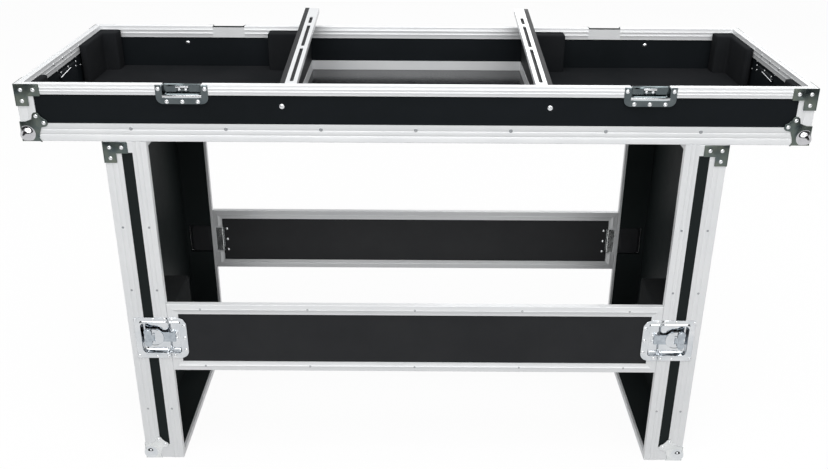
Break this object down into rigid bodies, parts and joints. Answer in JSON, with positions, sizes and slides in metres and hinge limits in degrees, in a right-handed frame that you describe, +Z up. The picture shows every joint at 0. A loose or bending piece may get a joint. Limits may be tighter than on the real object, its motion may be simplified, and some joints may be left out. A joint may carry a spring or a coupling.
{
  "type": "dj console case with table",
  "caption": "Flight case tray with two player bays and a mixer bay on sloping rack rails, standing on the two halves of its lid, which boards and butterfly latches tie together.",
  "frame": {"origin": "on the floor, under the middle of the case", "axes": "+X along the case to the user's right, +Y from the user to the rear, +Z up"},
  "size_m": [1.4908, 0.504, 0.8925],
  "materials": {
    "aluminium": "brushed extrusion",
    "laminate": "satin black laminate on plywood",
    "charcoal": "satin charcoal laminate on plywood",
    "foam": "matte foam",
    "corner_steel": "zinc plated",
    "chrome": "bright plated"
  },
  "bodies": {
    "stand": {"left_leg_shell": "laminate", "left_leg_edging": "aluminium", "left_leg_pad": "foam", "right_leg_shell": "laminate", "right_leg_edging": "aluminium", "right_leg_pad": "foam", "front_stretcher_board": "charcoal", "front_stretcher_trim": "aluminium", "rear_stretcher_board": "charcoal", "rear_stretcher_trim": "aluminium", "leg_ball_corner_front_left": "corner_steel", "board_keeper_front_left": "chrome", "latch_dish_front_left": "chrome", "leg_ball_corner_front_right": "corner_steel", "board_keeper_front_right": "chrome", "latch_dish_front_right": "chrome", "leg_ball_corner_rear_left": "corner_steel", "board_keeper_rear_left": "chrome", "latch_dish_rear_left": "chrome", "leg_ball_corner_rear_right": "corner_steel", "board_keeper_rear_right": "chrome", "latch_dish_rear_right": "chrome"},
    "tray": {"tray_floor": "laminate", "tray_front_wall": "laminate", "tray_rear_wall": "laminate", "tray_left_wall": "laminate", "tray_right_wall": "laminate", "tray_rim_frame": "aluminium", "tray_base_frame": "aluminium", "divider_left": "charcoal", "divider_right": "charcoal", "rack_rail_left": "aluminium", "rack_rail_right": "aluminium", "mixer_bay_trim": "aluminium", "bay_liner_left": "foam", "bay_liner_right": "foam", "handle_dish_left": "chrome", "handle_dish_right": "chrome", "tray_ball_corner_front_left": "corner_steel", "tray_keeper_front_left": "chrome", "tray_ball_corner_front_right": "corner_steel", "tray_keeper_front_right": "chrome", "tray_ball_corner_rear_left": "corner_steel", "tray_keeper_rear_left": "chrome", "tray_ball_corner_rear_right": "corner_steel", "tray_keeper_rear_right": "chrome"},
    "spindle_front_left": {"latch_spindle_front_left": "chrome"},
    "wing_front_left": {"latch_wing_front_left": "chrome"},
    "hook_front_left": {"latch_hook_front_left": "chrome"},
    "spindle_front_right": {"latch_spindle_front_right": "chrome"},
    "wing_front_right": {"latch_wing_front_right": "chrome"},
    "hook_front_right": {"latch_hook_front_right": "chrome"},
    "spindle_rear_left": {"latch_spindle_rear_left": "chrome"},
    "wing_rear_left": {"latch_wing_rear_left": "chrome"},
    "hook_rear_left": {"latch_hook_rear_left": "chrome"},
    "spindle_rear_right": {"latch_spindle_rear_right": "chrome"},
    "wing_rear_right": {"latch_wing_rear_right": "chrome"},
    "hook_rear_right": {"latch_hook_rear_right": "chrome"},
    "bail_left": {"handle_bail_left": "chrome"},
    "bail_right": {"handle_bail_right": "chrome"}
  },
  "joints": [
    {"name": "tray_lift", "type": "slide", "parent": "stand", "child": "tray", "axis": [0, 0, 1], "range_m": [0, 0.3]},
    {"name": "spindle_turn_front_left", "type": "hinge", "parent": "stand", "child": "spindle_front_left", "pos_m": [-0.542, -0.246, 0.308], "axis": [0, -1, 0], "range_deg": [0, 180]},
    {"name": "wing_fold_front_left", "type": "hinge", "parent": "spindle_front_left", "child": "wing_front_left", "pos_m": [-0.542, -0.2463, 0.308], "axis": [0, 0, 1], "range_deg": [0, 90], "stiffness_Nm_per_rad": 0.004},
    {"name": "hook_slide_front_left", "type": "slide", "parent": "stand", "child": "hook_front_left", "axis": [1, 0, 0], "range_m": [0, 0.008]},
    {"name": "spindle_turn_front_right", "type": "hinge", "parent": "stand", "child": "spindle_front_right", "pos_m": [0.542, -0.246, 0.308], "axis": [0, -1, 0], "range_deg": [0, 180]},
    {"name": "wing_fold_front_right", "type": "hinge", "parent": "spindle_front_right", "child": "wing_front_right", "pos_m": [0.542, -0.2463, 0.308], "axis": [0, 0, -1], "range_deg": [0, 90], "stiffness_Nm_per_rad": 0.004},
    {"name": "hook_slide_front_right", "type": "slide", "parent": "stand", "child": "hook_front_right", "axis": [-1, 0, 0], "range_m": [0, 0.008]},
    {"name": "spindle_turn_rear_left", "type": "hinge", "parent": "stand", "child": "spindle_rear_left", "pos_m": [-0.542, 0.246, 0.308], "axis": [0, 1, 0], "range_deg": [0, 180]},
    {"name": "wing_fold_rear_left", "type": "hinge", "parent": "spindle_rear_left", "child": "wing_rear_left", "pos_m": [-0.542, 0.2463, 0.308], "axis": [0, 0, -1], "range_deg": [0, 90], "stiffness_Nm_per_rad": 0.004},
    {"name": "hook_slide_rear_left", "type": "slide", "parent": "stand", "child": "hook_rear_left", "axis": [1, 0, 0], "range_m": [0, 0.008]},
    {"name": "spindle_turn_rear_right", "type": "hinge", "parent": "stand", "child": "spindle_rear_right", "pos_m": [0.542, 0.246, 0.308], "axis": [0, 1, 0], "range_deg": [0, 180]},
    {"name": "wing_fold_rear_right", "type": "hinge", "parent": "spindle_rear_right", "child": "wing_rear_right", "pos_m": [0.542, 0.2463, 0.308], "axis": [0, 0, 1], "range_deg": [0, 90], "stiffness_Nm_per_rad": 0.004},
    {"name": "hook_slide_rear_right", "type": "slide", "parent": "stand", "child": "hook_rear_right", "axis": [-1, 0, 0], "range_m": [0, 0.008]},
    {"name": "bail_swing_left", "type": "hinge", "parent": "tray", "child": "bail_left", "pos_m": [-0.7345, 0, 0.8073], "axis": [0, 1, 0], "range_deg": [0, 90], "stiffness_Nm_per_rad": 0.05},
    {"name": "bail_swing_right", "type": "hinge", "parent": "tray", "child": "bail_right", "pos_m": [0.7345, 0, 0.8073], "axis": [0, -1, 0], "range_deg": [0, 90], "stiffness_Nm_per_rad": 0.05}
  ],
  "couplings": [
    {"joint": "hook_slide_front_left", "follows": "spindle_turn_front_left", "m_per_rad": 0.0025464},
    {"joint": "hook_slide_front_right", "follows": "spindle_turn_front_right", "m_per_rad": 0.0025464},
    {"joint": "hook_slide_rear_left", "follows": "spindle_turn_rear_left", "m_per_rad": 0.0025464},
    {"joint": "hook_slide_rear_right", "follows": "spindle_turn_rear_right", "m_per_rad": 0.0025464}
  ]
}
